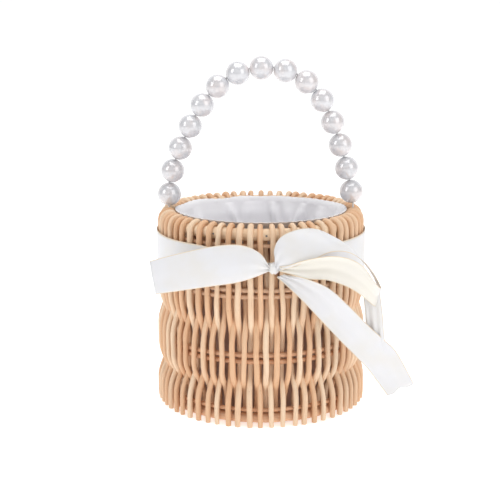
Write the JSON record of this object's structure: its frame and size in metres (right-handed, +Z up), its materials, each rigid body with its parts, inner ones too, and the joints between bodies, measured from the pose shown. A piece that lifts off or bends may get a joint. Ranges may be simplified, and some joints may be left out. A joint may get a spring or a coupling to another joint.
{
  "type": "flower girl basket",
  "caption": "Round willow basket with a gathered cloth lining, a satin ribbon bow and a swinging bail handle of pearls strung on a wire.",
  "frame": {"origin": "centre of the flat underside, on the surface the basket stands on", "axes": "+Z up, the bow faces -Y, and the handle stands in the XZ plane with its eyes on the rim at +X and -X"},
  "size_m": [0.194, 0.1844, 0.2629],
  "materials": {
    "willow": "peeled willow, satin, varied from pale straw to tan",
    "hoop_willow": "peeled willow rod, satin",
    "rim_willow": "pale peeled willow rod, satin",
    "plywood": "unfinished birch plywood",
    "brad": "small steel brads",
    "lining": "white cotton, plain weave",
    "ribbon": "ivory white satin",
    "wire": "bright steel wire",
    "pearl": "pearlised white, glossy"
  },
  "bodies": {
    "basket": {"base_board": "plywood", "base_hoop": "hoop_willow", "foot_hoop": "hoop_willow", "lower_hoop_bottom": "hoop_willow", "lower_hoop_top": "hoop_willow", "upper_hoop_bottom": "hoop_willow", "upper_hoop_top": "hoop_willow", "under_rim_hoop": "hoop_willow", "rim_hoop": "rim_willow", "rim_brads": "brad", "wrapped_stakes": "willow", "inner_stakes": "willow", "lining_wall": "lining", "lining_floor": "lining", "ribbon_band": "ribbon", "bow_knot": "ribbon", "bow_loop": "ribbon", "tail_left": "ribbon", "tail_right": "ribbon"},
    "handle": {"handle_wire": "wire"},
    "pearl_01": {"pearl_01": "pearl"},
    "pearl_02": {"pearl_02": "pearl"},
    "pearl_03": {"pearl_03": "pearl"},
    "pearl_04": {"pearl_04": "pearl"},
    "pearl_05": {"pearl_05": "pearl"},
    "pearl_06": {"pearl_06": "pearl"},
    "pearl_07": {"pearl_07": "pearl"},
    "pearl_08": {"pearl_08": "pearl"},
    "pearl_09": {"pearl_09": "pearl"},
    "pearl_10": {"pearl_10": "pearl"},
    "pearl_11": {"pearl_11": "pearl"},
    "pearl_12": {"pearl_12": "pearl"},
    "pearl_13": {"pearl_13": "pearl"},
    "pearl_14": {"pearl_14": "pearl"},
    "pearl_15": {"pearl_15": "pearl"}
  },
  "joints": [
    {"name": "handle_swing", "type": "hinge", "parent": "basket", "child": "handle", "pos_m": [0, 0, 0.1415], "axis": [1, 0, 0], "range_deg": [-7, 7]},
    {"name": "pearl_01_spin", "type": "hinge", "parent": "handle", "child": "pearl_01", "pos_m": [-0.07018, 0, 0.15867], "axis": [0.0349, 0, 0.9994], "continuous": true},
    {"name": "pearl_02_spin", "type": "hinge", "parent": "handle", "child": "pearl_02", "pos_m": [-0.06733, 0, 0.17666], "axis": [0.2756, 0, 0.9613], "continuous": true},
    {"name": "pearl_03_spin", "type": "hinge", "parent": "handle", "child": "pearl_03", "pos_m": [-0.06122, 0, 0.19392], "axis": [0.3907, 0, 0.9205], "continuous": true},
    {"name": "pearl_04_spin", "type": "hinge", "parent": "handle", "child": "pearl_04", "pos_m": [-0.05347, 0, 0.21054], "axis": [0.454, 0, 0.891], "continuous": true},
    {"name": "pearl_05_spin", "type": "hinge", "parent": "handle", "child": "pearl_05", "pos_m": [-0.0443, 0, 0.22641], "axis": [0.5446, 0, 0.8387], "continuous": true},
    {"name": "pearl_06_spin", "type": "hinge", "parent": "handle", "child": "pearl_06", "pos_m": [-0.0326, 0, 0.24037], "axis": [0.7314, 0, 0.682], "continuous": true},
    {"name": "pearl_07_spin", "type": "hinge", "parent": "handle", "child": "pearl_07", "pos_m": [-0.01738, 0, 0.25006], "axis": [0.9272, 0, 0.3746], "continuous": true},
    {"name": "pearl_08_spin", "type": "hinge", "parent": "handle", "child": "pearl_08", "pos_m": [0.00029, 0, 0.25398], "axis": [0.9986, 0, 0.0523], "continuous": true},
    {"name": "pearl_09_spin", "type": "hinge", "parent": "handle", "child": "pearl_09", "pos_m": [0.01827, 0, 0.25193], "axis": [0.9613, 0, -0.2756], "continuous": true},
    {"name": "pearl_10_spin", "type": "hinge", "parent": "handle", "child": "pearl_10", "pos_m": [0.03422, 0, 0.24363], "axis": [0.7771, 0, -0.6293], "continuous": true},
    {"name": "pearl_11_spin", "type": "hinge", "parent": "handle", "child": "pearl_11", "pos_m": [0.04608, 0, 0.22999], "axis": [0.515, 0, -0.8572], "continuous": true},
    {"name": "pearl_12_spin", "type": "hinge", "parent": "handle", "child": "pearl_12", "pos_m": [0.05409, 0, 0.21356], "axis": [0.3584, 0, -0.9336], "continuous": true},
    {"name": "pearl_13_spin", "type": "hinge", "parent": "handle", "child": "pearl_13", "pos_m": [0.06021, 0, 0.19627], "axis": [0.309, 0, -0.9511], "continuous": true},
    {"name": "pearl_14_spin", "type": "hinge", "parent": "handle", "child": "pearl_14", "pos_m": [0.06527, 0, 0.17864], "axis": [0.2419, 0, -0.9703], "continuous": true},
    {"name": "pearl_15_spin", "type": "hinge", "parent": "handle", "child": "pearl_15", "pos_m": [0.06908, 0, 0.1607], "axis": [0.1736, 0, -0.9848], "continuous": true}
  ]
}
